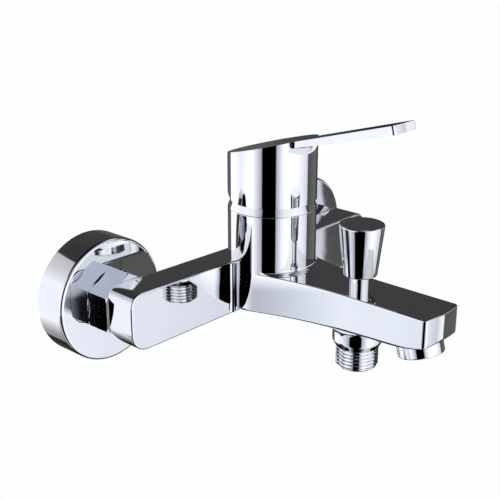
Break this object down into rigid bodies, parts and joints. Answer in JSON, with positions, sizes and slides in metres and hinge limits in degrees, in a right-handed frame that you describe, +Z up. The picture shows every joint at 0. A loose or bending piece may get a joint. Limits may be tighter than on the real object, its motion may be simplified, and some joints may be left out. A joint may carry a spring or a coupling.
{
  "type": "wall mounted bath mixer",
  "caption": "Single lever wall mixer with a flat spout, pull-up diverter, threaded shower outlet and round wall covers.",
  "frame": {"origin": "midpoint between the two wall threads, on the wall face", "axes": "+X to the right along the wall seen by the user, +Y into the wall along the wall threads, +Z up"},
  "size_m": [0.2125, 0.1774, 0.1252],
  "materials": {
    "polished_chrome": "mirror polished chrome plating",
    "raw_brass": "machined brass",
    "seal_rubber": "smooth black rubber",
    "foam": "closed cell foam",
    "stainless": "drawn stainless steel",
    "acetal": "natural white acetal",
    "orange_acetal": "orange acetal",
    "ceramic": "lapped alumina ceramic",
    "index_red_blue": "moulded plug, half red and half blue"
  },
  "bodies": {
    "mixer": {"valve_body": "polished_chrome", "left_escutcheon": "polished_chrome", "left_escutcheon_seal": "foam", "left_eccentric_union": "polished_chrome", "left_coupling_nut": "polished_chrome", "left_inlet_washer": "seal_rubber", "left_strainer": "stainless", "left_inlet_tail": "raw_brass", "left_tail_o_ring": "seal_rubber", "left_check_cage": "acetal", "left_check_spring": "stainless", "right_escutcheon": "polished_chrome", "right_escutcheon_seal": "foam", "right_eccentric_union": "polished_chrome", "right_coupling_nut": "polished_chrome", "right_inlet_washer": "seal_rubber", "right_strainer": "stainless", "right_inlet_tail": "raw_brass", "right_tail_o_ring": "seal_rubber", "right_check_cage": "acetal", "right_check_spring": "stainless", "cartridge_base": "acetal", "base_seals": "seal_rubber", "fixed_disc": "ceramic", "cartridge_housing": "acetal", "cartridge_nut": "raw_brass", "cover_ring": "polished_chrome", "diverter_gland": "polished_chrome", "gland_o_ring": "seal_rubber", "stem_o_ring": "seal_rubber", "diverter_spring": "stainless", "shower_nipple": "polished_chrome", "nipple_o_ring": "seal_rubber", "aerator_housing": "polished_chrome", "aerator_insert": "acetal", "aerator_screen": "stainless", "aerator_gasket": "seal_rubber"},
    "rotor": {"cartridge_rotor": "acetal", "stem_pin": "stainless"},
    "handle": {"cartridge_stem": "raw_brass", "handle_hub": "polished_chrome", "lever_bar": "polished_chrome", "handle_set_screw": "stainless", "index_plug": "index_red_blue"},
    "discs": {"moving_disc": "ceramic", "disc_carrier": "acetal"},
    "diverter": {"diverter_knob": "polished_chrome", "diverter_stem": "raw_brass", "diverter_valve": "acetal", "diverter_seals": "seal_rubber"},
    "left_poppet": {"left_check_poppet": "orange_acetal"},
    "right_poppet": {"right_check_poppet": "orange_acetal"}
  },
  "joints": [
    {"name": "handle_turn", "type": "hinge", "parent": "mixer", "child": "rotor", "pos_m": [0, -0.0565, 0], "axis": [0, 0, 1], "range_deg": [-50, 50]},
    {"name": "handle_lift", "type": "hinge", "parent": "rotor", "child": "handle", "pos_m": [0, -0.0565, 0.025], "axis": [-1, 0, 0], "range_deg": [0, 24]},
    {"name": "disc_slide", "type": "slide", "parent": "rotor", "child": "discs", "axis": [0, -1, 0], "range_m": [0, 0.0055]},
    {"name": "diverter_pull", "type": "slide", "parent": "mixer", "child": "diverter", "axis": [0, 0, 1], "range_m": [0, 0.007], "stiffness_N_per_m": 120, "deforming": ["diverter_spring"]},
    {"name": "left_check_lift", "type": "slide", "parent": "mixer", "child": "left_poppet", "axis": [0, -1, 0], "range_m": [0, 0.0018], "stiffness_N_per_m": 60, "deforming": ["left_check_spring"]},
    {"name": "right_check_lift", "type": "slide", "parent": "mixer", "child": "right_poppet", "axis": [0, -1, 0], "range_m": [0, 0.0018], "stiffness_N_per_m": 60, "deforming": ["right_check_spring"]}
  ],
  "couplings": [
    {"joint": "disc_slide", "follows": "handle_lift", "m_per_rad": 0.012905}
  ]
}
